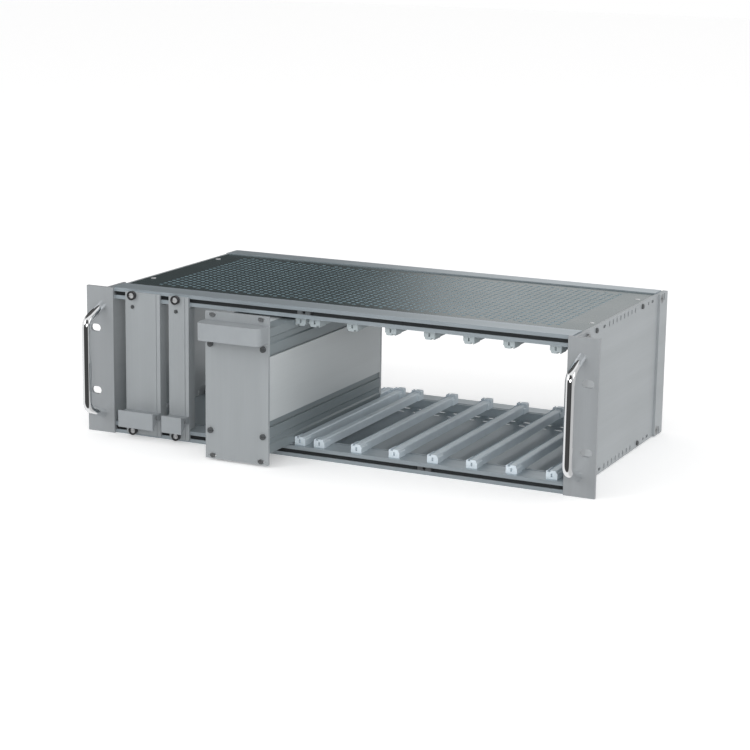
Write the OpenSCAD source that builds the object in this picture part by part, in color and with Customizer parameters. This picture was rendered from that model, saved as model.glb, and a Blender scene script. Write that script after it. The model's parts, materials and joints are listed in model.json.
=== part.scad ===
// Card cage for plug-in electronics: a 19-inch case, 3 units high, with an
// open bay of plastic card guides, two fixed front units and one cassette
// that slides on its own pair of guides.
// X runs to the right, Y to the back and Z up. The origin is the centre of
// the four rack slots, on the rear face of the rack flanges.

/* [Rack mounting] */
// Overall width across the two rack flanges
rack_w = 482.6; // [476:0.1:490]
// Height of the rack flanges and over the rails
unit_h = 132.5; // [120:0.1:310]
// Sideways distance between the rack slots
slot_spread_x = 465.1; // [460:0.1:468]
// Distance from the end of a flange to the middle of its rack slot
rack_slot_in = 37.675; // [30:0.005:44]
// Length of one rack slot
slot_len = 10.3; // [8:0.1:11]
// Width of one rack slot
slot_w = 6.8; // [5.5:0.1:7.5]
// Thickness of the flange plates
flange_t = 3; // [2:0.1:4]
// Thickness of the flange leg that lies along the side panel
leg_t = 2.5; // [2:0.1:3]
// Overlap of the flange over the end of the rails
flange_lap = 4.9; // [3:0.1:6]

/* [Case] */
// Width over the two side panels
case_w = 438; // [430:0.1:440]
// Depth of the side panels
case_d = 235; // [215:1:415]
// Thickness of the side panels
side_t = 2.5; // [1.5:0.1:3]
// Thickness of the top and bottom covers
cover_t = 1; // [0.8:0.1:1.2]
// How far the covers and side edges lie inside the outer faces of the rails
cover_drop = 1; // [0.5:0.1:1.5]
// Length of the thickened border at the rear of each side panel
border_l = 21; // [16:0.5:24]
// How far that border stands out from the side panel
border_t = 2; // [1:0.1:3]
// Distance from the rear rails to the rear edge of the side panels
rear_recess = 5; // [4:0.5:14]

/* [Rails] */
// Depth of the front rails
front_rail_d = 26.5; // [24:0.5:32]
// Depth of the rear rails
rear_rail_d = 21.5; // [20:0.5:26]
// Height of every rail
rail_h = 10; // [9.5:0.1:11]
// Distance from the outer face of a rail to the middle of its nut slot
fixing_in = 5; // [4.8:0.1:5.2]
// Height of the mouth of the nut slot
mouth_h = 3.4; // [2.8:0.1:3.6]
// Height of the nut slot behind its mouth
nut_slot_h = 6; // [5:0.1:6.4]
// Depth of the nut slot behind its mouth
nut_slot_d = 4.5; // [4:0.1:5]
// Thickness of the lips beside the mouth
lip_t = 1.8; // [1.4:0.1:2.2]
// Bore of the screw port that runs through each rail
port_d = 4.2; // [3.6:0.1:4.4]

/* [Ventilation] */
// Across-flats size of one vent hole in the top cover
vent_d = 6; // [4:0.1:7]
// Sideways pitch of the vent holes
vent_pitch_x = 13; // [11:0.5:20]
// Pitch of the rows of vent holes
vent_pitch_y = 12; // [10:0.5:20]
// Plain border left and right of the vent holes
vent_margin = 19; // [14:1:40]

/* [Card guides] */
// One unit of the horizontal pitch
hp = 5.08; // [5:0.01:5.1]
// Distance from the groove of a card guide to the middle of the guide
guide_shift = 2.6; // [0:0.1:3]
// Distance from the outer face of a rail to the edge of a card
card_in = 16.25; // [16:0.05:17]
// Width of the guide ends
guide_w = 10; // [8:0.1:10.4]
// Width of the guide between its ends
guide_body_w = 8; // [6.5:0.1:9.5]
// Width of the guide groove
groove_w = 2; // [1.8:0.1:2.6]
// Depth of the guide groove
groove_d = 1.4; // [1.2:0.1:3]
// Height of the stop at the rear end of a card guide
guide_stop_h = 1.5; // [0:0.1:3]

/* [Front units] */
// Distance from the outer face of a rail to the end of a front panel
panel_in = 2.05; // [1.5:0.05:2.6]
// Thickness of every front panel
panel_t = 2.5; // [2:0.1:3]
// Pitch line at the left edge of the wide unit
unit_a_at = 2.33; // [2:0.01:2.8]
// Width of the wide unit in pitch units
unit_a_hp = 7; // [6:1:7]
// Pitch line at the left edge of the narrow unit
unit_b_at = 11.05; // [10.5:0.01:12]
// Width of the narrow unit in pitch units
unit_b_hp = 4; // [4:1:8]
// Height of the grip plate of a unit's handle
grip_h = 15; // [12:0.5:18]
// How far that grip plate stands in front of the panel
grip_reach = 14; // [10:0.5:18]

/* [Cassette] */
// Pitch line at the left edge of the cassette
cassette_at = 23; // [22:0.1:23.2]
// Width of the cassette in pitch units
cassette_hp = 12; // [10:1:12]
// Length of the cassette behind its front panel
cassette_d = 221; // [180:1:222]
// Distance from the outer face of a rail to the cassette body
cassette_in = 12.25; // [11.8:0.05:13.5]
// How far the cassette is drawn out of the case
drawn_out = 41.5; // [0:0.5:120]
// How far the cassette's handle stands in front of its panel
bow_reach = 17.5; // [16:0.5:26]
// Height of that handle
bow_h = 15; // [10:0.5:18]

/* [Lift handles] */
// Diameter of the handle rod
rod_d = 8; // [6:0.1:9]
// Distance from the end of a flange to the foot of its handle
foot_in = 17.25; // [12:0.25:24]
// How far the middle of the grip stands in front of the flange
rod_reach = 25; // [20:0.5:35]
// How far each arm slopes towards the grip
arm_slope = 10; // [4:0.5:14]
// Radius of the bends
bend_r = 9; // [6:0.5:10]

/* [Hidden] */
// Finishes
alu = [0.70, 0.72, 0.73];
alu_dark = [0.42, 0.45, 0.46];
plastic = [0.80, 0.83, 0.86];
steel = [0.62, 0.63, 0.65];
chrome = [0.90, 0.91, 0.93];
black = [0.10, 0.10, 0.11];

// Clearances and small steps
fit = 0.1;
play = 0.3;
cut = 1;
round_fn = 48;
small_fn = 24;

// Pitch lines of the bay, counted from its left end
bay_hp = 84;

// Case
side_out = case_w / 2;
side_in = side_out - side_t;
rail_face = unit_h / 2;
edge_z = rail_face - cover_drop;
rail_inner = rail_face - rail_h;
rear_face = case_d - rear_recess;
line_z = rail_face - fixing_in;
rack_slot_z = rail_face - rack_slot_in;

ledge_l = 3.5;
vent_clear = 1;
cover_from = front_rail_d - ledge_l + fit;
cover_to = rear_face - rear_rail_d + ledge_l - fit;

// Rows of slots between the card guides at the rear of the bottom cover, as
// [distance in front of the rear rail, width]
floor_rows = [[15, 5.5], [1, 6.5]];
floor_slot_l = 27.5;

// Rails
nut_end = lip_t + nut_slot_d;
rail_wall = 1.5;
port_back = 6;
rear_port_back = 11;
port_off = 0.7;
port_z = rail_h / 2 + port_off;
clip_w = 2.2;
clip_d = 2;
clip_back = 4;
front_chamber = [nut_end + rail_wall, front_rail_d - port_back - port_d / 2 - rail_wall];
rear_chamber = [rear_rail_d - rear_port_back + port_d / 2 + rail_wall,
    rear_rail_d - clip_back - rail_wall];

// Rail end screws
end_r = 4;
end_h = 2.2;
end_len = 9;
end_shaft = port_d / 2 - fit;
front_port_y = front_rail_d - port_back;
rear_port_y = rear_face - rear_rail_d + rear_port_back;
rear_head_h = 1.8;
leg_end = 2.5;
leg_d = front_port_y + end_r + leg_end;

// Rows of slots in the side panels
row_drop = 3.8;
row_z = edge_z - row_drop;
upright_w = 2.5;
upright_h = 4.6;
upright_count = 8;
upright_pitch = 9.75;
upright_from = 83;
long_slot = 6;
long_at = [71, 198];
pin_hole_at = 187;
pin_hole_r = 1.6;
end_slot_back = 9;
end_slot_h = 7;

// Blocks that hold the covers
block_at = [46, 165];
block_l = 20;
block_w = 11;
block_h = 8;
block_side_screw = 5;
block_cover_screw = 15;
block_screw_r = 2.2;
block_screw_h = 1.2;
block_shaft = 1.5;
block_shaft_l = 7;
cover_screw_in = 5.5;
cover_screw_r = 2.75;
cover_screw_l = 7;

// Card guides
guide_front = 4;
guide_end_l = 12;
guide_short = 17;
guide_rear = rear_face - guide_short;
guide_stop_l = 6;
card_play = 0.4;
card_off = 0.6;
guide_z = rail_face - card_in + card_play;
guide_top_z = guide_z - groove_d;
guide_near = 0.8;
guide_far = 2.6;
guide_mouth = 1.2;
notch_w = 1.6;
notch_h = 3;
notch_up = 1.8;
notch_d = 2;

// Slide nuts that wait in the front rails
nut_w = 12.5;
nut_play = 0.2;
nut_h = nut_slot_h - 2 * nut_play;
nut_t = 3.6;
nut_r = 1.35;
spare_nuts = [[-26.4, 1], [88.2, -1]];

// Front units
panel_gap = 0.3;
panel_z = rail_face - panel_in;
collar_in = 7.45;
holder_in = 10.4;
holder_z = line_z - holder_in;
side_leg_d = 8;
side_leg_t = 1.5;
side_leg_short = 2;
side_leg_z = rail_inner - side_leg_short;
line_w = 0.5;
line_in = 4;
grip_up = 13;
grip_z = grip_up - line_z;
grip_edge = 1;
grip_plate_t = 2.5;
grip_neck = 6;
grip_neck_up = 2.8;
grip_core_r = 2;
holder_w = 7;
holder_l = 9;
holder_h = 7;
holder_r = 1.25;
holder_head_r = 1.7;
holder_head_t = 0.8;
holder_screw_l = 5;
sleeve_r = 4;
sleeve_bore = 2.7;
sleeve_l = 3;
sleeve_floor = 0.8;
spigot_r = 2.5;
screw_r = 1.25;
head_r = 2.5;
head_t = 1.4;
drive_w = 0.6;
drive_d = 0.7;

// Cassette
cas_l = hp_x(cassette_at);
cas_w = cassette_hp * hp - panel_gap;
cas_in = cas_w / 2;
cas_cx = cas_l + cas_w / 2;
cas_y = -drawn_out;
cas_top = rail_face - cassette_in;
cas_wall = 2;
cas_reveal = cas_top - 22.4;
cas_clear = 1;
cas_floor_z = guide_top_z - cas_clear;
cas_rib_t = 1.5;
cas_rib_z = guide_z - play;
cas_rib_in = cas_wall + play + guide_w / 2 + guide_shift;
cas_arm = 16;
cas_skin = 1.2;
cas_boss_in = 5;
cas_boss_up = cas_top - 18;
cas_boss_down = cas_top - 14.6;
cas_boss_r = 3.3;
cas_boss_bore = 1.3;
cas_tongue = 5;
cas_side_low = cas_top - 28;
cas_side_high = cas_top - 24.5;
cas_side_t = 1.3;
cas_side_in = 0.3;
cas_rear_t = 2;
band_low = cas_top - 14;
band_high = cas_top - 7.3;
band_deep = 1.2;
cas_fix_in = 7;
cas_fix_l = 5;
fix_slot_l = 6.4;
fix_slot_w = 3.4;
fix_head_r = 2.1;
fix_head_t = 0.8;
cas_screw_l = 8;
cas_floor_gap = 1;
pan_r = 2.6;
pan_t = 1.6;
bow_t = 3.5;
bow_top_t = 2.5;
bow_round = 6;
bow_in = 15;
bow_z = panel_z - bow_in;

// Lift handles
lift_head_r = 4.1;
lift_head_t = 2.4;
lift_shaft = 1.65;
lift_deep = 4;
foot_x = side_out + leg_t + lift_head_r + play;
foot_z = rail_face - foot_in;
arm_a = atan2(arm_slope, rod_reach);
turn_a = 90 - arm_a;
bend_t = bend_r * tan(turn_a / 2);
arm_l = sqrt(rod_reach * rod_reach + arm_slope * arm_slope) - bend_t;
bend_steps = 10;
rod_sides = 24;

function hp_x(n) = (n - bay_hp / 2) * hp;

// Grooves of the card guides: the first one clears the cassette, the others
// keep to the pitch, and the last upper one stands one pitch unit further right
guide_first = cas_cx + cas_in + play + guide_w / 2 - guide_shift;
card_pitch = 7;
pitch_lines = [39 : card_pitch : 74];
last_low = 81;
last_top = 82;
cas_lines = [for (s = [-1, 1]) cas_cx + s * (cas_in - cas_rib_in)];
guides_top = card_lines(last_top);
guides_low = concat(cas_lines, card_lines(last_low));

function card_lines(last) =
    concat([guide_first], [for (n = pitch_lines) hp_x(n) + card_off], [hp_x(last) + card_off]);

// Front units as [left edge, width in pitch units]
unit_list = [[hp_x(unit_a_at), unit_a_hp], [hp_x(unit_b_at), unit_b_hp]];
nut_places = concat([for (u = unit_list) for (s = [-1, 1]) [u[0] + collar_in, s]], spare_nuts);

// Middle line of a lift handle as [y, z, normal y, normal z], from the foot
// down to the middle of the grip
bend_y = -arm_l * cos(arm_a) + bend_r * sin(arm_a);
bend_z = foot_z - arm_l * sin(arm_a) - bend_r * cos(arm_a);
upper_line = concat(
    [[0, foot_z, 0, 1 / cos(arm_a)]],
    [for (k = [0 : bend_steps]) let (a = arm_a + k * turn_a / bend_steps)
        [bend_y - bend_r * sin(a), bend_z + bend_r * cos(a), -sin(a), cos(a)]]);
rod_line = concat(upper_line,
    [for (k = [len(upper_line) - 1 : -1 : 0]) let (p = upper_line[k])
        [p[0], -p[1], p[2], -p[3]]]);

// ---- helpers -------------------------------------------------------------

// Extrudes a (Y, Z) outline along X, centred on x
module along_x(len, x = 0) {
    translate([x - len / 2, 0, 0]) rotate([90, 0, 90]) linear_extrude(len) children();
}

// Extrudes an (X, Z) outline from y towards the back
module along_y(len, y = 0) {
    translate([0, y + len, 0]) rotate([90, 0, 0]) linear_extrude(len) children();
}

// Cylinder along +X from the point p
module rod_x(r, len, p, fn = round_fn) {
    translate(p) rotate([0, 90, 0]) cylinder(r = r, h = len, $fn = fn);
}

// Cylinder along +Y from the point p
module rod_y(r, len, p, fn = round_fn) {
    translate(p) rotate([-90, 0, 0]) cylinder(r = r, h = len, $fn = fn);
}

// Flat slot with round ends, lying along the first axis
module oblong(len, w) {
    square([len - w, w], center = true);
    for (s = [-1, 1]) translate([s * (len - w) / 2, 0]) circle(d = w, $fn = small_fn);
}

// Left and right copies, or upper and lower copies
module both_x() {
    children();
    mirror([1, 0, 0]) children();
}

module both_z() {
    children();
    mirror([0, 0, 1]) children();
}

// ---- rack flanges and lift handles ---------------------------------------

module flange() {
    face_in = side_out - flange_lap;
    color(alu) difference() {
        union() {
            translate([face_in, -flange_t, -unit_h / 2])
                cube([rack_w / 2 - face_in, flange_t, unit_h]);
            translate([side_out, -flange_t, -unit_h / 2])
                cube([leg_t, leg_d + flange_t, unit_h]);
        }
        both_z() translate([slot_spread_x / 2, 0, rack_slot_z])
            along_y(flange_t + 2 * cut, -flange_t - cut) oblong(slot_len, slot_w);
        both_z() rod_x(end_shaft + fit, leg_t + 2 * cut,
            [side_out - cut, front_port_y, rail_face - port_z]);
        both_z() rod_y(lift_shaft + fit, flange_t + 2 * cut,
            [foot_x, -flange_t - cut, foot_z]);
    }
}

module bent_rod() {
    rings = len(rod_line);
    points = [for (p = rod_line) for (k = [0 : rod_sides - 1])
        let (a = k * 360 / rod_sides, e = cos(a) * rod_d / 2, h = sin(a) * rod_d / 2)
            [e, p[0] + h * p[2], p[1] + h * p[3]]];
    sides = [for (i = [0 : rings - 2]) for (k = [0 : rod_sides - 1])
        let (m = (k + 1) % rod_sides, a = i * rod_sides, b = a + rod_sides)
            [a + k, a + m, b + m, b + k]];
    first = [for (k = [rod_sides - 1 : -1 : 0]) k];
    last = [for (k = [0 : rod_sides - 1]) (rings - 1) * rod_sides + k];
    polyhedron(points, concat(sides, [first, last]));
}

module lift_handle() {
    color(chrome) difference() {
        translate([foot_x, -flange_t, 0]) bent_rod();
        both_z() rod_y(lift_shaft + fit, lift_deep + cut,
            [foot_x, -flange_t - lift_deep - fit, foot_z]);
    }
}

// ---- side panels, rails and covers ---------------------------------------

module side_outline() {
    difference() {
        translate([0, -edge_z]) square([case_d, 2 * edge_z]);
        for (s = [-1, 1]) {
            for (i = [0 : upright_count - 1])
                translate([upright_from + i * upright_pitch, s * row_z])
                    rotate(90) oblong(upright_h, upright_w);
            for (y = long_at) translate([y, s * row_z]) oblong(long_slot, upright_w);
            translate([pin_hole_at, s * row_z]) circle(r = pin_hole_r, $fn = small_fn);
            for (y = [front_port_y, rear_port_y])
                translate([y, s * (rail_face - port_z)])
                    circle(r = end_shaft + fit, $fn = round_fn);
            for (y = block_at)
                translate([y + block_side_screw, s * row_z])
                    circle(r = block_shaft + fit, $fn = round_fn);
            translate([case_d - end_slot_back, s * row_z])
                rotate(90) oblong(end_slot_h, upright_w);
        }
    }
}

module side_panel() {
    color(alu) difference() {
        union() {
            along_x(side_t, side_out - side_t / 2) side_outline();
            along_x(border_t + side_t / 2, side_out + border_t / 2 - side_t / 4)
                intersection() {
                    side_outline();
                    translate([case_d - border_l, -edge_z]) square([border_l, 2 * edge_z]);
                }
        }
        both_z() rod_x(end_r + fit, border_t + cut, [side_out, rear_port_y, rail_face - port_z]);
    }
}

// Section of a rail: y from its face to its back, z from its outer side inwards,
// with its screw port at the distance port from the back and a hollow chamber
module rail_outline(d, port, chamber) {
    difference() {
        square([d, rail_h]);
        translate([-cut, fixing_in - mouth_h / 2]) square([lip_t + 2 * cut, mouth_h]);
        translate([lip_t, fixing_in - nut_slot_h / 2]) square([nut_slot_d, nut_slot_h]);
        translate([chamber[0], rail_wall])
            square([chamber[1] - chamber[0], rail_h - 2 * rail_wall]);
        translate([d - port, port_z]) circle(d = port_d, $fn = round_fn);
        translate([d - clip_back, rail_h - clip_d]) square([clip_w, clip_d + cut]);
        translate([d - ledge_l, -cut]) square([ledge_l + cut, cover_drop + cover_t + cut]);
    }
}

module front_rail() {
    color(alu) along_x(2 * side_in) translate([0, -rail_face])
        rail_outline(front_rail_d, port_back, front_chamber);
}

module rear_rail() {
    color(alu) along_x(2 * side_in) translate([rear_face, -rail_face]) mirror([1, 0])
        rail_outline(rear_rail_d, rear_port_back, rear_chamber);
}

module cover_plate() {
    translate([-(side_in - fit), cover_from, edge_z - cover_t])
        cube([2 * (side_in - fit), cover_to - cover_from, cover_t]);
}

module cover_screw_places() {
    for (y = block_at) both_x()
        translate([side_in - cover_screw_in, y + block_cover_screw, edge_z]) children();
}

module cover_screw_holes() {
    cover_screw_places() translate([0, 0, -cover_t])
        cylinder(r1 = block_shaft + fit, r2 = cover_screw_r + fit, h = cover_t + fit, $fn = small_fn);
}

module vents() {
    w = 2 * (side_in - vent_margin);
    l = rear_face - rear_rail_d - front_rail_d - 2 * vent_clear;
    nx = floor((w - vent_d) / vent_pitch_x);
    ny = floor((l - vent_d) / vent_pitch_y);
    mid_y = (rear_face - rear_rail_d + front_rail_d) / 2;
    translate([0, mid_y]) for (j = [0 : ny]) for (i = [0 : nx - (j % 2)])
        translate([(i - (nx - (j % 2)) / 2) * vent_pitch_x, (j - ny / 2) * vent_pitch_y])
            circle(d = vent_d, $fn = 6);
}

module top_cover() {
    color(alu_dark) difference() {
        cover_plate();
        translate([0, 0, edge_z - cover_t - cut]) linear_extrude(cover_t + 2 * cut) vents();
        cover_screw_holes();
    }
}

module floor_slots() {
    for (n = [for (k = pitch_lines) k, last_low]) for (row = floor_rows)
        translate([hp_x(n - card_pitch / 2) + card_off + guide_shift,
                   rear_face - rear_rail_d - row[0] - row[1] / 2])
            square([floor_slot_l, row[1]], center = true);
}

module bottom_cover() {
    color(alu) mirror([0, 0, 1]) difference() {
        cover_plate();
        translate([0, 0, edge_z - cover_t - cut]) linear_extrude(cover_t + 2 * cut) floor_slots();
        cover_screw_holes();
    }
}

module cover_blocks() {
    color(steel) both_z() both_x() for (y = block_at) difference() {
        translate([side_in - block_w, y, edge_z - cover_t - block_h])
            cube([block_w, block_l, block_h]);
        translate([side_in - cover_screw_in, y + block_cover_screw, edge_z - cover_t - block_h - cut])
            cylinder(r = block_shaft + fit, h = block_h + 2 * cut, $fn = round_fn);
        rod_x(block_shaft + fit, block_w + 2 * cut,
            [side_in - block_w - cut, y + block_side_screw, row_z]);
    }
}

// ---- card guides ---------------------------------------------------------

// Section of a guide end, centred on x = 0, as it stands on a lower rail
module guide_section(w, top, far) {
    polygon([[-w / 2, -rail_inner], [w / 2, -rail_inner],
             [w / 2, -top - far], [w / 2 - far, -top],
             [guide_near - w / 2, -top], [-w / 2, -top - guide_near]]);
}

// Guide on a lower rail, with its groove upwards along x = 0 and its rear end
// raised by the height stop
module guide(stop) {
    len = guide_rear - guide_front;
    clips = [front_rail_d - clip_back + fit, rear_face - rear_rail_d + clip_back - clip_w + fit];
    difference() {
        translate([guide_shift, 0, 0]) union() {
            for (y = [guide_front, guide_rear - guide_end_l])
                along_y(guide_end_l, y) guide_section(guide_w, guide_top_z, guide_far);
            along_y(guide_stop_l, guide_rear - guide_stop_l)
                guide_section(guide_w, guide_top_z - stop, guide_near);
            along_y(len, guide_front) guide_section(guide_body_w, guide_top_z, guide_near);
            for (y = clips)
                translate([-guide_body_w / 2, y, -rail_inner - clip_d + fit])
                    cube([guide_body_w, clip_w - 2 * fit, clip_d]);
        }
        translate([-groove_w / 2, guide_front - cut, -guide_z])
            cube([groove_w, len + 2 * cut, groove_d + stop + cut]);
        for (y = [guide_front, guide_rear]) translate([0, y, 0]) rotate(45)
            translate([-guide_mouth, -guide_mouth, -guide_z])
                cube([2 * guide_mouth, 2 * guide_mouth, groove_d + stop + cut]);
        translate([guide_shift - notch_w / 2, guide_front - cut, -rail_inner + notch_up])
            cube([notch_w, notch_d + cut, notch_h]);
    }
}

// The cassette's two guides have no stop, and its left one is mirrored
module guide_low(i) {
    color(plastic) translate([guides_low[i], 0, 0])
        mirror([max(1 - i, 0), 0, 0]) guide(i < len(cas_lines) ? 0 : guide_stop_h);
}

// Upper guides hang turned over, and the one beside the cassette is mirrored
module guide_top(i) {
    color(plastic) translate([guides_top[i], 0, 0]) rotate([0, 180, 0])
        mirror([max(1 - i, 0), 0, 0]) guide(guide_stop_h);
}

// ---- front units ---------------------------------------------------------

function unit_w(n) = n * hp - panel_gap;

module slide_nuts() {
    color(steel) for (p = nut_places) difference() {
        translate([p[0] - nut_w / 2, lip_t, p[1] * line_z - nut_h / 2])
            cube([nut_w, nut_t, nut_h]);
        rod_y(nut_r, nut_t + 2 * cut, [p[0], lip_t - cut, p[1] * line_z]);
    }
}

module unit_panel(u) {
    w = unit_w(u[1]);
    color(alu) translate([u[0], 0, 0]) difference() {
        union() {
            translate([0, -panel_t, -panel_z]) cube([w, panel_t, 2 * panel_z]);
            for (x = [0, w - side_leg_t])
                translate([x, -panel_t, -side_leg_z])
                    cube([side_leg_t, side_leg_d + panel_t, 2 * side_leg_z]);
        }
        both_z() rod_y(spigot_r + fit, panel_t + 2 * cut,
            [collar_in, -panel_t - cut, line_z]);
        both_z() rod_y(holder_r + fit, panel_t + 2 * cut,
            [collar_in, -panel_t - cut, holder_z]);
        translate([w - line_in, -panel_t - cut, -panel_z - cut])
            cube([line_w, cut + line_w, 2 * (panel_z + cut)]);
    }
}

// Section of the handle: y from the panel forwards (negative), z about the
// middle of its grip plate
module grip_outline() {
    back = -grip_reach + grip_plate_t;
    neck_low = grip_neck_up - grip_neck / 2;
    neck_high = grip_neck_up + grip_neck / 2;
    polygon([[0, neck_low], [0, neck_high], [back / 2, neck_high],
             [back, grip_h / 2 - grip_edge], [back, grip_h / 2], [-grip_reach, grip_h / 2],
             [-grip_reach, -grip_h / 2], [back, -grip_h / 2], [back, grip_edge - grip_h / 2],
             [back / 2, neck_low]]);
}

module unit_handle(u) {
    w = unit_w(u[1]);
    color(plastic) along_x(w, u[0] + w / 2) translate([-panel_t, grip_z]) difference() {
        grip_outline();
        translate([-grip_reach / 2, grip_neck_up]) circle(r = grip_core_r, $fn = round_fn);
    }
}

module board_holders() {
    color(steel) for (u = unit_list) both_z() difference() {
        translate([u[0] + collar_in - holder_w / 2, 0, holder_z - holder_h / 2])
            cube([holder_w, holder_l, holder_h]);
        rod_y(holder_r + fit, holder_l + 2 * cut, [u[0] + collar_in, -cut, holder_z]);
    }
}

// Slotted screw along +Y: the head lies in front of the point p
module slotted_screw(p, hr, ht, sr, sl) {
    difference() {
        union() {
            rod_y(hr, ht, p - [0, ht, 0], small_fn);
            rod_y(sr, sl, p, small_fn);
        }
        translate(p - [hr + cut, ht + cut, drive_w / 2])
            cube([2 * (hr + cut), drive_d + cut, drive_w]);
    }
}

module holder_screws() {
    color(black) for (u = unit_list) both_z()
        slotted_screw([u[0] + collar_in, -panel_t, holder_z],
            holder_head_r, holder_head_t, holder_r, panel_t + holder_screw_l);
}

module collar_sleeves() {
    color(black) for (u = unit_list) both_z()
        translate([u[0] + collar_in, -panel_t, line_z]) rotate([90, 0, 0])
            rotate_extrude($fn = round_fn)
                polygon([[screw_r + fit, -panel_t + fit], [spigot_r, -panel_t + fit], [spigot_r, 0],
                         [sleeve_r, 0], [sleeve_r, sleeve_l], [sleeve_bore, sleeve_l],
                         [sleeve_bore, sleeve_floor], [screw_r + fit, sleeve_floor]]);
}

module collar_screws() {
    color(steel) for (u = unit_list) both_z()
        slotted_screw([u[0] + collar_in, -panel_t - sleeve_floor, line_z],
            head_r, head_t, screw_r, panel_t + sleeve_floor + lip_t + nut_t);
}

// ---- screws of the case --------------------------------------------------

// Cross-recessed pan head screw along -X, with its head outside the point p
module end_screw(p, hr, ht, sr, sl) {
    difference() {
        union() {
            rod_x(hr, ht, p, small_fn);
            rod_x(sr, sl + ht / 2, p - [sl, 0, 0], small_fn);
        }
        for (a = [0, 90]) translate(p + [ht, 0, 0]) rotate([a, 0, 0])
            cube([ht, hr, hr / 4], center = true);
    }
}

module rail_screws() {
    color(steel) both_x() both_z() {
        end_screw([side_out + leg_t, front_port_y, rail_face - port_z],
            end_r, end_h, end_shaft, end_len + leg_t);
        end_screw([side_out, rear_port_y, rail_face - port_z],
            end_r, rear_head_h, end_shaft, end_len);
    }
}

module block_screws() {
    color(black) both_x() both_z() for (y = block_at)
        end_screw([side_out, y + block_side_screw, row_z],
            block_screw_r, block_screw_h, block_shaft, block_shaft_l);
}

module cover_screws() {
    color(steel) both_z() cover_screw_places() difference() {
        union() {
            translate([0, 0, -cover_t])
                cylinder(r1 = block_shaft, r2 = cover_screw_r, h = cover_t, $fn = small_fn);
            translate([0, 0, -cover_screw_l])
                cylinder(r = block_shaft, h = cover_screw_l - cover_t / 2, $fn = small_fn);
        }
        for (a = [0, 90]) rotate(a) cube([cover_screw_r, drive_w, cover_t], center = true);
    }
}

module lift_handle_screws() {
    color(steel) both_x() both_z() translate([foot_x, 0, foot_z]) rotate([90, 0, 0]) {
        translate([0, 0, -lift_head_t]) cylinder(r = lift_head_r, h = lift_head_t, $fn = small_fn);
        cylinder(r = lift_shaft, h = flange_t + lift_deep - fit, $fn = small_fn);
    }
}

// ---- cassette ------------------------------------------------------------

// All cassette pieces are drawn about its own middle line, with its panel's
// rear face at y = 0
module cassette() {
    translate([cas_cx, cas_y, 0]) children();
}

module panel_screw_places() {
    both_x() for (z = [cas_boss_up, -cas_boss_down])
        translate([cas_in - cas_boss_in, 0, z]) children();
}

module fixing_screw_places() {
    both_x() both_z() translate([cas_in - cas_fix_in, 0, line_z]) children();
}

module cassette_panel() {
    color(alu) cassette() difference() {
        translate([-cas_in, -panel_t, -panel_z]) cube([cas_w, panel_t, 2 * panel_z]);
        panel_screw_places() rod_y(cas_boss_bore + fit, panel_t + 2 * cut, [0, -panel_t - cut, 0]);
        fixing_screw_places() along_y(panel_t + 2 * cut, -panel_t - cut)
            oblong(fix_slot_l, fix_slot_w);
    }
}

// Outline of the handle seen from above
module bow_outline(in, reach, r) {
    translate([-in, -reach + r]) square([2 * in, reach - r]);
    translate([-in + r, -reach]) square([2 * (in - r), reach]);
    for (s = [-1, 1]) translate([s * (in - r), -reach + r]) circle(r = r, $fn = round_fn);
}

module cassette_handle() {
    color(alu) cassette() translate([0, -panel_t, bow_z - bow_h / 2])
        difference() {
            linear_extrude(bow_h) bow_outline(cas_in, bow_reach, bow_round);
            translate([0, cut, -bow_top_t]) linear_extrude(bow_h)
                bow_outline(cas_in - bow_t, bow_reach - bow_t + cut, bow_round - bow_t);
        }
}

// Right-hand outlines: x is measured inwards from the side
module boss_2d(z) {
    translate([cas_boss_in, z]) circle(r = cas_boss_r, $fn = round_fn);
    translate([0, z - cas_rib_t / 2]) square([cas_boss_in, cas_rib_t]);
}

module profile_top_2d() {
    difference() {
        union() {
            translate([0, cas_reveal]) square([cas_wall, cas_top - cas_reveal]);
            translate([0, cas_top - cas_wall]) square([cas_arm, cas_wall]);
            translate([cas_side_in + cas_side_t, cas_reveal - cas_tongue])
                square([cas_rib_t, cas_tongue + cas_wall]);
            boss_2d(cas_boss_up);
        }
        translate([cas_boss_in, cas_boss_up]) circle(r = cas_boss_bore, $fn = round_fn);
        polygon([[-cut, band_low], [0, band_low], [band_deep, band_low + band_deep],
                 [band_deep, band_high - band_deep], [0, band_high], [-cut, band_high]]);
        translate([cas_arm - 2 * cas_skin, cas_top - cas_skin])
            square([2 * cas_skin + cut, cas_skin + cut]);
    }
}

module profile_bottom_2d() {
    difference() {
        union() {
            translate([0, -cas_top]) square([cas_wall, cas_top - cas_reveal]);
            translate([0, -cas_floor_z]) square([cas_arm, cas_wall]);
            translate([cas_rib_in - cas_rib_t / 2, -cas_rib_z])
                square([cas_rib_t, cas_rib_z - cas_floor_z + cas_wall]);
            translate([cas_side_in + cas_side_t, -cas_reveal - cas_wall])
                square([cas_rib_t, cas_tongue + cas_wall + cas_reveal - cas_side_low]);
            boss_2d(-cas_boss_down);
        }
        translate([cas_boss_in, -cas_boss_down]) circle(r = cas_boss_bore, $fn = round_fn);
        polygon([[-cut, -band_low], [0, -band_low], [band_deep, -band_low - band_deep],
                 [band_deep, band_deep - band_high], [0, -band_high], [-cut, -band_high]]);
    }
}

module cassette_profile(s) {
    color(alu) cassette() along_y(cassette_d - cas_rear_t)
        mirror([max(s, 0), 0, 0]) translate([-cas_in, 0]) children();
}

module cassette_side(s) {
    color(alu) cassette() translate([s * (cas_in - cas_side_in - cas_side_t / 2), 0, 0])
        translate([-cas_side_t / 2, 0, -cas_side_low])
            cube([cas_side_t, cassette_d - cas_rear_t, cas_side_high + cas_side_low]);
}

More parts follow.
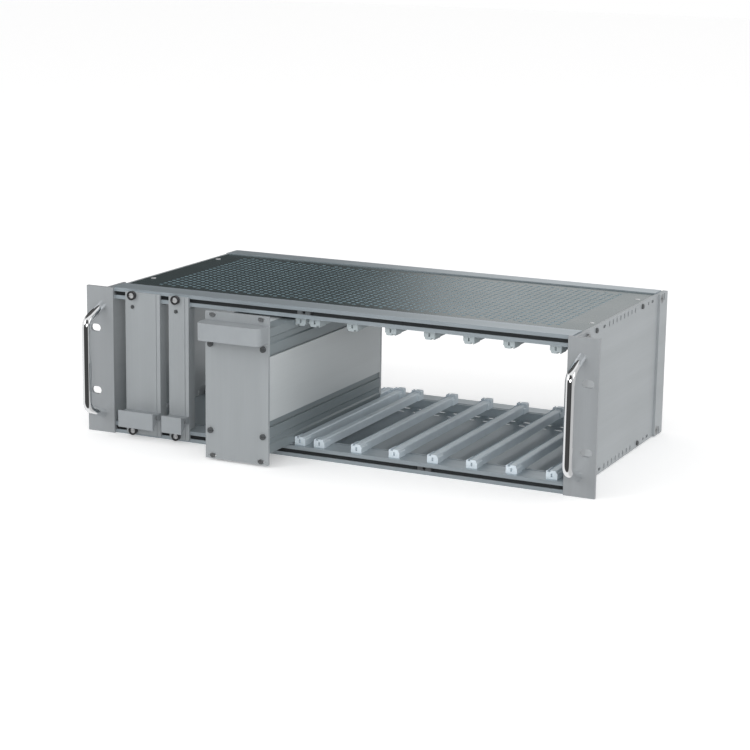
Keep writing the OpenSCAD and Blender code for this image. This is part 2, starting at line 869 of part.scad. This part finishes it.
module cassette_top() {
    w = cas_w - 2 * (cas_arm - 2 * cas_skin) - 2 * fit;
    color(alu) cassette() translate([-w / 2, 0, cas_top - cas_skin])
        cube([w, cassette_d - cas_rear_t, cas_skin]);
}

module cassette_bottom() {
    w = cas_w - 2 * (cas_boss_in + cas_boss_r + cas_floor_gap);
    color(alu) cassette() translate([-w / 2, 0, cas_wall - cas_floor_z])
        cube([w, cassette_d - cas_rear_t, cas_skin]);
}

module cassette_rear() {
    color(alu) cassette() difference() {
        translate([-cas_in, cassette_d - cas_rear_t, -cas_floor_z])
            cube([cas_w, cas_rear_t, cas_top + cas_floor_z]);
        panel_screw_places() rod_y(cas_boss_bore + fit, cas_rear_t + 2 * cut,
            [0, cassette_d - cas_rear_t - cut, 0]);
    }
}

module cassette_panel_screws() {
    color(black) cassette() panel_screw_places()
        slotted_screw([0, -panel_t, 0],
            pan_r, pan_t, cas_boss_bore - fit, panel_t + cas_screw_l);
}

module cassette_rear_screws() {
    color(steel) cassette() panel_screw_places() translate([0, cassette_d, 0]) mirror([0, 1, 0])
        slotted_screw([0, 0, 0],
            pan_r, pan_t, cas_boss_bore - fit, cas_rear_t + cas_screw_l);
}

module cassette_fixing_screws() {
    color(steel) cassette() fixing_screw_places()
        slotted_screw([0, -panel_t, 0], fix_head_r, fix_head_t, screw_r, panel_t + cas_fix_l);
}

// ---- nodes ---------------------------------------------------------------

mirror([1, 0, 0]) flange();  // flange_left
flange();  // flange_right
mirror([1, 0, 0]) lift_handle();  // lift_handle_left
lift_handle();  // lift_handle_right
mirror([1, 0, 0]) side_panel();  // side_panel_left
side_panel();  // side_panel_right
mirror([0, 0, 1]) front_rail();  // rail_front_top
front_rail();  // rail_front_bottom
mirror([0, 0, 1]) rear_rail();  // rail_rear_top
rear_rail();  // rail_rear_bottom
top_cover();
bottom_cover();
cover_blocks();
for (i = [0 : len(guides_low) - 1])
    guide_low(i);
for (i = [0 : len(guides_top) - 1])
    guide_top(i);
slide_nuts();
unit_panel(unit_list[0]);  // unit_a_panel
unit_handle(unit_list[0]);  // unit_a_handle
unit_panel(unit_list[1]);  // unit_b_panel
unit_handle(unit_list[1]);  // unit_b_handle
board_holders();
holder_screws();
collar_sleeves();
collar_screws();
rail_screws();
cover_screws();
block_screws();
lift_handle_screws();
cassette_panel();
cassette_handle();
cassette_profile(-1) profile_top_2d();  // cassette_profile_top_left
cassette_profile(1) profile_top_2d();  // cassette_profile_top_right
cassette_profile(-1) profile_bottom_2d();  // cassette_profile_bottom_left
cassette_profile(1) profile_bottom_2d();  // cassette_profile_bottom_right
cassette_side(-1);  // cassette_side_left
cassette_side(1);  // cassette_side_right
cassette_top();
cassette_bottom();
cassette_rear();
cassette_panel_screws();
cassette_rear_screws();
cassette_fixing_screws();
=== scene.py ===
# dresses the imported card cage: a finish for every node, a finely perforated
# cover, domed cover screws and round lift rods, then the stage and the camera
import json
import math

import bmesh
import bpy
from mathutils import Matrix, Vector


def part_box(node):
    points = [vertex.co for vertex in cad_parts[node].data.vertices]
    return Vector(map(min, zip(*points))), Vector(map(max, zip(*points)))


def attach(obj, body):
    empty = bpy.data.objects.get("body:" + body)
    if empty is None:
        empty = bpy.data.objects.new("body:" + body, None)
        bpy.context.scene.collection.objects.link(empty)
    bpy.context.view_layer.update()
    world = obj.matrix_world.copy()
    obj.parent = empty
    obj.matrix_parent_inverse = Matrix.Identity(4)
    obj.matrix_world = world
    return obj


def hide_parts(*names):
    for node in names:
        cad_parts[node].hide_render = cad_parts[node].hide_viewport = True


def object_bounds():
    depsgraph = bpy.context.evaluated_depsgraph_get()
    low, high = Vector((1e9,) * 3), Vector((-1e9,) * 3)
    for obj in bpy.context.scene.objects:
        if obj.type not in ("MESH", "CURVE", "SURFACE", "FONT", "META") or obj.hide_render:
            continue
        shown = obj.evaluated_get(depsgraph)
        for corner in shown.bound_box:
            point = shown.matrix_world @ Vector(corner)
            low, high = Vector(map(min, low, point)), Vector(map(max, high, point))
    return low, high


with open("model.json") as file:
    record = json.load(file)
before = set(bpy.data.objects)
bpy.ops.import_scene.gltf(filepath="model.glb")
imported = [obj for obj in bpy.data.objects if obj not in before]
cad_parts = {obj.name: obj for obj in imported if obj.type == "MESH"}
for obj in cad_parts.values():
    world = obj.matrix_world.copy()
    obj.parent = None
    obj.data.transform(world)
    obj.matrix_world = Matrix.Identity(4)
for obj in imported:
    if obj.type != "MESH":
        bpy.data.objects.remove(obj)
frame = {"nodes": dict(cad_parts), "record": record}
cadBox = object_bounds()
nodes = frame["nodes"]
rightAngle = math.radians(90)
weldGap = 0.00001  # points nearer than this are one point
print("frame loaded:", len(nodes), "nodes")


class Wire:
    # an output socket that can stand in a sum, on either side
    def __init__(self, graph, socket):
        self.graph = graph
        self.socket = socket

    def combine(self, operation, left, right):
        return self.graph.add("ShaderNodeMath", {"operation": operation}, {0: left, 1: right})

    def beside(self, output):
        # another output of the same node
        return Wire(self.graph, self.socket.node.outputs[output])

    def __add__(self, other):
        return self.combine("ADD", self, other)

    def __radd__(self, other):
        return self.combine("ADD", other, self)

    def __sub__(self, other):
        return self.combine("SUBTRACT", self, other)

    def __rsub__(self, other):
        return self.combine("SUBTRACT", other, self)

    def __mul__(self, other):
        return self.combine("MULTIPLY", self, other)

    def __rmul__(self, other):
        return self.combine("MULTIPLY", other, self)

    def __abs__(self):
        return self.combine("ABSOLUTE", self, 0.0)


class Graph:
    def __init__(self, owner):
        owner.use_nodes = True
        self.owner = owner
        self.tree = owner.node_tree

    def add(self, kind, settings=None, inputs=None, output=0):
        # the one way that a node is made: settings first, then its sockets
        node = self.tree.nodes.new(kind)
        for key, value in (settings or {}).items():
            setattr(node, key, value)
        for key, value in (inputs or {}).items():
            self.feed(node.inputs[key], value)
        return Wire(self, node.outputs[output])

    def feed(self, socket, value):
        if isinstance(value, Wire):
            self.tree.links.new(value.socket, socket)
        else:
            socket.default_value = value

    def ramp(self, value, start, end, atStart=0.0, atEnd=1.0, ease="LINEAR"):
        return self.add("ShaderNodeMapRange", {"interpolation_type": ease},
                        {"Value": value, "From Min": start, "From Max": end,
                         "To Min": atStart, "To Max": atEnd})


class Paint(Graph):
    noiseRange = (0.3, 0.7)  # where most of a noise lies
    relief = 0.0001  # height of every bump, in metres

    def __init__(self, name):
        super().__init__(bpy.data.materials.new(name))
        self.shader = self.tree.nodes["Principled BSDF"]

    def coat(self, **values):
        # sets the shader's own sockets, with spaces written as underscores
        for key, value in values.items():
            self.feed(self.shader.inputs[key.replace("_", " ")], value)
        return self.owner

    def here(self):
        return self.add("ShaderNodeTexCoord", output="Object")

    def noise(self, grain, stretch=(1, 1, 1)):
        # grain says how many marks there are to the metre, and how detailed they are
        scale, detail = grain
        drawn = self.add("ShaderNodeMapping", inputs={"Vector": self.here(), "Scale": stretch})
        return self.add("ShaderNodeTexNoise", {"noise_dimensions": "3D"},
                        {"Vector": drawn, "Scale": scale, "Detail": detail}, "Fac")

    def fullRange(self, noise):
        # draws a noise out to the whole range from 0 to 1
        return self.ramp(noise, *self.noiseRange)

    def tone(self, first, second, amount):
        # a mix node takes its two colours at inputs 6 and 7 and gives their mix at output 2
        ends = [end if isinstance(end, Wire) else (*end, 1) for end in (first, second)]
        return self.add("ShaderNodeMix", {"data_type": "RGBA"},
                        {"Factor": amount, 6: ends[0], 7: ends[1]}, 2)

    def around(self, colour, amount, spread):
        # a colour that wanders by the share spread to both sides
        return self.tone([c * (1 - spread) for c in colour], [c * (1 + spread) for c in colour], amount)

    def uneven(self, rough, noise, spread):
        # a roughness that wanders by half of spread to both sides
        return noise * spread + (rough - spread / 2)

    def bump(self, height, strength):
        return self.add("ShaderNodeBump",
                        inputs={"Height": height, "Strength": strength, "Distance": self.relief})


# satin aluminium: brush lines and soft streaks that follow the extrusion
satin = {
    "lines": (1400.0, 2.0),
    "streaks": (70.0, 4.0),
    "clouds": (11.0, 2.0),
    "lineShare": 0.35,
    "streakShare": 0.4,
    "cloudShare": 0.25,
    "roughSpread": 0.16,
    "bump": 0.12,
}


def anodised(name, grey, drawn, rough=0.42, metal=0.5, spread=0.05):
    paint = Paint(name)
    lines = paint.noise(satin["lines"], drawn)
    streaks = paint.noise(satin["streaks"], drawn)
    clouds = paint.noise(satin["clouds"])
    mixed = lines * satin["lineShare"] + streaks * satin["streakShare"] + clouds * satin["cloudShare"]
    return paint.coat(Base_Color=paint.around(grey, paint.fullRange(mixed), spread), Metallic=metal,
                      Roughness=paint.uneven(rough, lines, satin["roughSpread"]),
                      Normal=paint.bump(lines, satin["bump"]))


# rails: the same brush lines over tighter streaks, and painted shade in the groove, where light does not
# reach
railMarks = {
    "streaks": (160.0, 4.0),
    "lineShare": 0.4,
    "streakShare": 0.6,
    "spread": 0.10,
}
grooveShade = {
    "below": 0.005,  # from the rail's outer face to the middle of the groove
    "half": 0.0030,  # half the height of its shade
    "edge": 0.0004,  # over which the shade fades above and below
    "from": 0.0003,  # depths between which the shade comes in
    "to": 0.0014,
    "end": 0.008,  # depths between which it goes again
    "gone": 0.009,
    # the colour of the painted shade in the groove
    "grey": (0.06, 0.066, 0.07),
}


def railFinish(name, grey, drawn, rough, metal):
    paint = Paint(name)
    lines = paint.noise(satin["lines"], drawn)
    streaks = paint.noise(railMarks["streaks"], drawn)
    mixed = lines * railMarks["lineShare"] + streaks * railMarks["streakShare"]
    plain = paint.around(grey, paint.fullRange(mixed), railMarks["spread"])
    depth = paint.add("ShaderNodeSeparateXYZ", inputs={"Vector": paint.here()}, output="Y")
    height = depth.beside("Z")
    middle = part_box("rail_front_top")[1].z - grooveShade["below"]
    away = abs(abs(height) - middle)
    nearMiddle = paint.ramp(away, grooveShade["half"], grooveShade["half"] + grooveShade["edge"], 1.0, 0.0)
    pastFace = paint.ramp(depth, grooveShade["from"], grooveShade["to"])
    pastEnd = paint.ramp(depth, grooveShade["end"], grooveShade["gone"])
    # painted shade inside the groove: darker and less metallic where the groove's walls would be in shadow
    shade = nearMiddle * (pastFace * (1 - pastEnd))
    return paint.coat(Base_Color=paint.tone(plain, grooveShade["grey"], shade), Metallic=metal * (1 - shade),
                      Roughness=paint.uneven(rough, lines, satin["roughSpread"]),
                      Normal=paint.bump(lines, satin["bump"]))


# coated sheet: a fine orange-peel surface over a soft cloud
coating = {
    "clouds": (24.0, 3.0),
    "peel": (2600.0, 1.0),
    "spread": 0.07,
    "roughSpread": 0.12,
    "bump": 0.06,
}


def sheetPaint(name, colour, rough, metal, drawn=(1, 1, 1)):
    paint = Paint(name)
    clouds = paint.noise(coating["clouds"], drawn)
    peel = paint.noise(coating["peel"])
    cloudy = paint.around(colour, paint.fullRange(clouds), coating["spread"])
    return paint.coat(Base_Color=cloudy, Metallic=metal,
                      Roughness=paint.uneven(rough, clouds, coating["roughSpread"]),
                      Normal=paint.bump(peel, coating["bump"]))


# plastic with a faint cloud in its colour and a spark-eroded grain
plastic = {
    "clouds": (60.0, 3.0),
    "grain": (1800.0, 2.0),
    "spread": 0.04,
    "roughSpread": 0.12,
    "bump": 0.1,
}


def moulded(name, colour, rough):
    paint = Paint(name)
    clouds = paint.noise(plastic["clouds"])
    grain = paint.noise(plastic["grain"])
    cloudy = paint.around(colour, paint.fullRange(clouds), plastic["spread"])
    return paint.coat(Base_Color=cloudy, Metallic=0.0,
                      Roughness=paint.uneven(rough, grain, plastic["roughSpread"]),
                      Normal=paint.bump(grain, plastic["bump"]))


# plated steel and chrome: a thin haze, and fine marks that run upwards
plating = {
    "haze": (220.0, 3.0),
    "marks": (1600.0, 2.0),
    "markStretch": (1, 1, 0.05),
    "spread": 0.02,
    "hazeRough": 0.04,
}


def bright(name, colour, rough, markRough=0.1, metal=1.0):
    paint = Paint(name)
    haze = paint.noise(plating["haze"])
    marks = paint.noise(plating["marks"], plating["markStretch"])
    return paint.coat(Base_Color=paint.around(colour, haze, plating["spread"]), Metallic=metal,
                      Roughness=haze * plating["hazeRough"] + marks * markRough + rough)


alongX, alongY, alongZ = (0.02, 1, 1), (1, 0.02, 1), (1, 1, 0.02)
finishes = {
    "flanges": anodised("flanges", (0.36, 0.38, 0.395), alongZ, metal=0.35),
    "side_panels": anodised("side_panels", (0.385, 0.41, 0.425), alongY, metal=0.3, spread=0.10),
    "rails": railFinish("rails", (0.40, 0.455, 0.49), alongX, rough=0.34, metal=0.5),
    "top_cover": sheetPaint("top_cover", (0.072, 0.108, 0.114), rough=0.22, metal=0.6),
    "bottom_cover": sheetPaint("bottom_cover", (0.37, 0.42, 0.45), rough=0.40, metal=0.6, drawn=alongX),
    "front_panels": anodised("front_panels", (0.38, 0.405, 0.42), alongZ, metal=0.35),
    "cassette_front": anodised("cassette_front", (0.375, 0.40, 0.415), alongZ, metal=0.35),
    "cassette_body": anodised("cassette_body", (0.53, 0.56, 0.57), alongY, metal=0.2),
    "cassette_edges": anodised("cassette_edges", (0.225, 0.26, 0.275), alongY, metal=0.3),
    "punched_edges": moulded("punched_edges", (0.22, 0.31, 0.35), rough=0.35),
    "chrome": bright("chrome", (0.86, 0.87, 0.88), rough=0.02, markRough=0.0),
    "guides": moulded("guides", (0.57, 0.64, 0.69), rough=0.40),
    # the guides' plastic in a darker copy: painted shade for the upper guides
    "upper_guides": moulded("upper_guides", (0.34, 0.385, 0.40), rough=0.45),
    "grips": moulded("grips", (0.265, 0.285, 0.30), rough=0.5),
    "sleeves": moulded("sleeves", (0.02, 0.02, 0.022), rough=0.35),
    "screws": bright("screws", (0.70, 0.71, 0.72), rough=0.28, metal=0.6),
    "dark_screws": moulded("dark_screws", (0.07, 0.075, 0.078), rough=0.4),
    "steel_parts": bright("steel_parts", (0.42, 0.43, 0.44), rough=0.3),
}
slotOf = {part["node"]: part["material_slot"] for part in frame["record"]["subparts"]}
# nodes that wear another finish than their slot's
ownFinish = {name: "cassette_edges" for name in nodes if name.startswith("cassette_profile")}
# the upper guides wear the darker copy of the guides, as painted shade
ownFinish.update({name: "upper_guides" for name in nodes if name.startswith("guide_top")})
ownFinish.update(cassette_handle="grips", cassette_fixing_screws="steel_parts", rail_screws="steel_parts")


def wear(thing, finish):
    thing.data.materials.clear()
    thing.data.materials.append(finishes[finish])


for name, thing in nodes.items():
    wear(thing, ownFinish.get(name, slotOf[name]))
print("finishes on the frame:", len(finishes))


def asPiece(mesh, name, slot, body, *standsFor):
    # an object that rides on a body, in place of the nodes that it stands for
    data = bpy.data.meshes.new(name)
    bmesh.ops.recalc_face_normals(mesh, faces=mesh.faces)
    mesh.to_mesh(data)
    mesh.free()
    thing = bpy.data.objects.new(name, data)
    bpy.context.scene.collection.objects.link(thing)
    wear(thing, slot)
    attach(thing, body)
    if standsFor:
        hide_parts(*standsFor)
    return thing


def smooth(thing, sharpFrom=40):
    for face in thing.data.polygons:
        face.use_smooth = True
    thing.data.set_sharp_from_angle(angle=math.radians(sharpFrom))


def everything(mesh):
    return mesh.verts[:] + mesh.edges[:] + mesh.faces[:]


def vertsOf(geometry):
    return [g for g in geometry if isinstance(g, bmesh.types.BMVert)]


def edgesOf(geometry):
    return [g for g in geometry if isinstance(g, bmesh.types.BMEdge)]


def middleOf(edge):
    return (edge.verts[0].co + edge.verts[1].co) / 2


# top cover: a sheet with staggered round holes and a plain border
coverSheet = {
    "columnPitch": 0.0064,
    "holeRadius": 0.0019,
    "sideMargin": 0.0215,
    "endMargin": 0.009,
    "thickness": 0.001,
}


def growBorder(sheet, edges, axis, place):
    # draws a row of open edges out to a straight line
    grown = bmesh.ops.extrude_edge_only(sheet, edges=edges)["geom"]
    for vert in vertsOf(grown):
        vert.co[axis] = place


def perforatedSheet():
    lowest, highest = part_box("top_cover")
    pitch = coverSheet["columnPitch"]
    holeRadius = coverSheet["holeRadius"]
    alongPitch = pitch / math.cos(math.radians(30))  # neighbouring holes stand in even triangles
    tiny = pitch / 100
    columns = int((highest.x - lowest.x - 2 * coverSheet["sideMargin"]) / pitch)
    rows = int((highest.y - lowest.y - 2 * coverSheet["endMargin"]) / alongPitch - 0.5)
    start = (lowest + highest) / 2
    start.x -= (columns - 1) * pitch / 2
    start.y -= (rows - 0.5) * alongPitch / 2
    lastColumn = start.x + (columns - 1) * pitch
    lastRow = start.y + (rows - 0.5) * alongPitch

    # one hexagonal cell whose inner face is the hole
    sheet = bmesh.new()
    bmesh.ops.create_circle(sheet, cap_ends=True, segments=6, radius=alongPitch / math.sqrt(3),
                            matrix=Matrix.Rotation(rightAngle, 4, "Z"))
    bmesh.ops.subdivide_edges(sheet, edges=sheet.edges[:], cuts=1)
    bmesh.ops.inset_individual(sheet, faces=sheet.faces[:], thickness=pitch / 2 - holeRadius)
    hole = max(sheet.faces, key=lambda face: len(face.verts))
    hole.material_index = 1
    for vert in hole.verts:
        vert.co *= holeRadius / vert.co.length
    cell = everything(sheet)
    column = list(cell)
    for row in range(1, rows):
        copy = bmesh.ops.duplicate(sheet, geom=cell)["geom"]
        bmesh.ops.translate(sheet, vec=(0, row * alongPitch, 0), verts=vertsOf(copy))
        column += copy
    for step in range(1, columns):
        copy = bmesh.ops.duplicate(sheet, geom=column)["geom"]
        shift = (step * pitch, step % 2 * alongPitch / 2, 0)
        bmesh.ops.translate(sheet, vec=shift, verts=vertsOf(copy))
    bmesh.ops.remove_doubles(sheet, verts=sheet.verts[:], dist=tiny)
    bmesh.ops.translate(sheet, vec=(start.x, start.y, highest.z), verts=sheet.verts[:])

    # the border is drawn from the field of holes to the front, the rear and then the sides
    rim = [e for e in sheet.edges if e.is_boundary]
    growBorder(sheet, [e for e in rim if middleOf(e).y < start.y + tiny], 1, lowest.y)
    growBorder(sheet, [e for e in rim if middleOf(e).y > lastRow - tiny], 1, highest.y)
    rim = [e for e in sheet.edges if e.is_boundary and lowest.y + tiny < middleOf(e).y < highest.y - tiny]
    growBorder(sheet, [e for e in rim if middleOf(e).x < start.x], 0, lowest.x)
    growBorder(sheet, [e for e in rim if middleOf(e).x > lastColumn], 0, highest.x)
    holes = [f for f in sheet.faces if f.material_index == 1]
    bmesh.ops.delete(sheet, geom=holes, context="FACES_ONLY")
    print("perforated sheet:", len(holes), "holes")
    return sheet


sheet = asPiece(perforatedSheet(), "perforatedCover", "top_cover", "frame", "top_cover")
if sheet.data.polygons[0].normal.z < 0:
    sheet.data.flip_normals()
thickness = sheet.modifiers.new("thickness", "SOLIDIFY")
thickness.thickness = coverSheet["thickness"]
thickness.offset = -1
sheet.data.materials.append(finishes["punched_edges"])  # the walls of the holes are bare
thickness.material_offset_rim = 1


# domed screws that hold the covers
coverScrew = {
    "headRadius": 0.0024,
    "headRise": 0.0006,
    "sideInset": 0.0055,
    "places": (0.061, 0.180),
    "sides": 24,
}


def coverScrews():
    lowest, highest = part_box("top_cover")
    screws = bmesh.new()
    radius, rise = coverScrew["headRadius"], coverScrew["headRise"]
    dome = bmesh.ops.create_uvsphere(screws, u_segments=coverScrew["sides"],
                                     v_segments=coverScrew["sides"] // 2, radius=radius)["verts"]
    bmesh.ops.scale(screws, vec=(1, 1, rise / radius), verts=dome)
    head = everything(screws)
    for side in (-1, 1):
        for level in (-1, 1):
            for place in coverScrew["places"]:
                copy = bmesh.ops.duplicate(screws, geom=head)["geom"]
                spot = (side * (highest.x - coverScrew["sideInset"]), place, level * highest.z)
                bmesh.ops.translate(screws, vec=spot, verts=vertsOf(copy))
    bmesh.ops.delete(screws, geom=head, context="VERTS")
    return screws


smooth(asPiece(coverScrews(), "coverScrews", "screws", "frame", "cover_screws"))
print("domed cover screws made")


# lift handles: bent round rods
liftHandle = {
    "rodRadius": 0.004,
    "reach": 0.025,
    "slope": 0.010,
    "bendRadius": 0.009,
    "footSpread": 0.098,
    "sides": 48,
    "bendSteps": 16,
}


def liftRod(side):
    # half a rod from its upper foot to the middle of its grip, then mirrored
    lowest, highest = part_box("lift_handle_right")
    slopeAngle = math.atan2(liftHandle["slope"], liftHandle["reach"])
    turn = rightAngle - slopeAngle
    bendRadius = liftHandle["bendRadius"]
    armLength = math.hypot(liftHandle["slope"], liftHandle["reach"]) - bendRadius * math.tan(turn / 2)
    along = Vector((0, -math.cos(slopeAngle), -math.sin(slopeAngle)))
    foot = Vector((side * (lowest.x + highest.x) / 2, highest.y, liftHandle["footSpread"] / 2))
    upright = Matrix.Translation(foot) @ Matrix.Rotation(rightAngle, 4, "X")
    rod = bmesh.new()
    ring = bmesh.ops.create_circle(rod, segments=liftHandle["sides"], radius=liftHandle["rodRadius"],
                                   matrix=upright)["verts"]
    # the arm meets the flange at a slope, so the foot's ring is taller than it is wide
    bmesh.ops.scale(rod, vec=(1, 1, 1 / math.cos(slopeAngle)), verts=ring, space=Matrix.Translation(-foot))
    arm = bmesh.ops.extrude_edge_only(rod, edges=rod.edges[:])["geom"]
    armEnd = foot + along * armLength
    for vert in vertsOf(arm):
        # the arm's end is cut square to the arm
        offset = vert.co - foot
        offset.z *= math.cos(slopeAngle)
        vert.co = armEnd + Matrix.Rotation(slopeAngle, 3, "X") @ offset
    across = Vector((0, math.sin(slopeAngle), -math.cos(slopeAngle)))
    bent = bmesh.ops.spin(rod, geom=edgesOf(arm), cent=armEnd + across * bendRadius, axis=(1, 0, 0),
                          dvec=(0, 0, 0), angle=turn, steps=liftHandle["bendSteps"])["geom_last"]
    grip = bmesh.ops.extrude_edge_only(rod, edges=edgesOf(bent))["geom"]
    for vert in vertsOf(grip):
        vert.co.z = 0
    bmesh.ops.mirror(rod, geom=everything(rod), axis="Z", merge_dist=weldGap)
    bmesh.ops.remove_doubles(rod, verts=rod.verts[:], dist=weldGap)
    bmesh.ops.holes_fill(rod, edges=[e for e in rod.edges if e.is_boundary], sides=liftHandle["sides"])
    return rod


for side, word in ((-1, "left"), (1, "right")):
    smooth(asPiece(liftRod(side), word + "LiftRod", "chrome", "frame", "lift_handle_" + word))
print("lift rods made")


# stage: white paper, a soft sky and three large lamps
studio = {
    "floorSize": 14.0,
    "floorColour": (0.92, 0.92, 0.92, 1),
    "floorRough": 0.9,
    "floorGlow": 0.28,
    "skyForShade": 0.8,
    "skyForView": 1.0,
    "skyForGloss": 0.9,
}
# dark parts of the room as gloss sees it: the way to the middle of each, the
# angles at which it is full and gone, how tall it is drawn and how dark it is
darkParts = [
    {"toward": (-0.643, 0.766, 0.19), "full": 14.5, "gone": 17.5, "tall": 0.4, "depth": 0.92},
    {"toward": (0.20, -0.98, -0.10), "full": 50, "gone": 58, "tall": 0.7, "depth": 0.93},
    {"toward": (-0.45, 0.35, 0.82), "full": 30, "gone": 38, "tall": 1.0, "depth": 0.9},
    {"toward": (0.90, 0.30, -0.20), "full": 45, "gone": 75, "tall": 1.0, "depth": 0.35},
]
# places and sizes in metres, power in watts
lamps = {
    "key": {"place": (1.5, -2.6, 0.9), "aim": (0, 0, 0), "size": (1.2, 0.9), "power": 29},
    "left": {"place": (-1.3, -1.9, 1.5), "aim": (-0.1, 0, 0), "size": (1.2, 1.2), "power": 14},
    "side": {"place": (3.0, 0.6, 1.4), "aim": (0.1, 0.1, 0), "size": (1.6, 1.6), "power": 8},
}
# metres, degrees and, for the lens and the sensor, millimetres
view = {
    "place": (0.784667, -1.576963, 0.409592),
    "turn": 25.215,
    "tilt": -12.767,
    "roll": 0.824,
    "lens": 101.998,
    "sensorWidth": 36,
    "farthest": 50,
}


class Sky(Graph):
    def __init__(self):
        super().__init__(bpy.data.worlds.new("sky"))
        bpy.context.scene.world = self.owner
        self.out = self.tree.nodes["Background"]

    def darkness(self, part):
        # 0 away from a dark part and its depth in the middle of it
        way = self.add("ShaderNodeTexCoord", output="Generated")
        drawn = self.add("ShaderNodeMapping", {"vector_type": "POINT"},
                         {"Vector": way, "Scale": (1, 1, part["tall"])})
        unit = self.add("ShaderNodeVectorMath", {"operation": "NORMALIZE"}, {0: drawn})
        middle = Vector(part["toward"])
        middle.z *= part["tall"]
        near = self.add("ShaderNodeVectorMath", {"operation": "DOT_PRODUCT"},
                        {0: unit, 1: middle.normalized()}, "Value")
        gone, full = (math.cos(math.radians(part[key])) for key in ("gone", "full"))
        return self.ramp(near, gone, full, atEnd=part["depth"], ease="SMOOTHSTEP")

    def light(self):
        gloss = studio["skyForGloss"]
        for part in darkParts:
            gloss = gloss * (1 - self.darkness(part))
        isGloss = self.add("ShaderNodeLightPath", output="Is Glossy Ray")
        isSeen = isGloss.beside("Is Camera Ray")
        shade = self.ramp(isSeen, 0.0, 1.0, studio["skyForShade"], studio["skyForView"])
        strength = isGloss * gloss + (1 - isGloss) * shade
        self.feed(self.out.inputs["Strength"], strength)
        self.feed(self.out.inputs["Color"], (1, 1, 1, 1))


def groundFloor():
    floor = bmesh.new()
    bmesh.ops.create_grid(floor, x_segments=1, y_segments=1, size=studio["floorSize"] / 2)
    bmesh.ops.translate(floor, vec=(0, 0, cadBox[0][2]), verts=floor.verts[:])
    data = bpy.data.meshes.new("floor")
    floor.to_mesh(data)
    floor.free()
    thing = bpy.data.objects.new("floor", data)
    bpy.context.scene.collection.objects.link(thing)
    white = studio["floorColour"]
    paper = Paint("paper").coat(Base_Color=white, Roughness=studio["floorRough"],
                                Emission_Color=white, Emission_Strength=studio["floorGlow"])
    thing.data.materials.append(paper)
    # gloss sees the sky in place of the paper, so the room's dark parts reach below the horizon
    thing.visible_glossy = False


def hangLamp(name, lamp):
    data = bpy.data.lights.new(name, "AREA")
    data.shape = "RECTANGLE"
    data.size, data.size_y = lamp["size"]
    data.energy = lamp["power"]
    thing = bpy.data.objects.new(name, data)
    bpy.context.scene.collection.objects.link(thing)
    thing.location = lamp["place"]
    aim = Vector(lamp["aim"]) - Vector(lamp["place"])
    thing.rotation_euler = aim.to_track_quat("-Z", "Y").to_euler()


def setCamera():
    data = bpy.data.cameras.new("camera")
    data.sensor_width = view["sensorWidth"]
    data.lens = view["lens"]
    data.clip_end = view["farthest"]
    thing = bpy.data.objects.new("camera", data)
    bpy.context.scene.collection.objects.link(thing)
    turned = Matrix.Rotation(math.radians(view["turn"]), 4, "Z")
    tilted = Matrix.Rotation(math.radians(90 + view["tilt"]), 4, "X")
    rolled = Matrix.Rotation(math.radians(view["roll"]), 4, "Z")
    thing.matrix_world = Matrix.Translation(view["place"]) @ turned @ tilted @ rolled
    bpy.context.scene.camera = thing


groundFloor()
for name, lamp in lamps.items():
    hangLamp(name, lamp)
Sky().light()
setCamera()
bpy.context.scene.view_settings.view_transform = "Standard"

print("stage, lights and camera set")
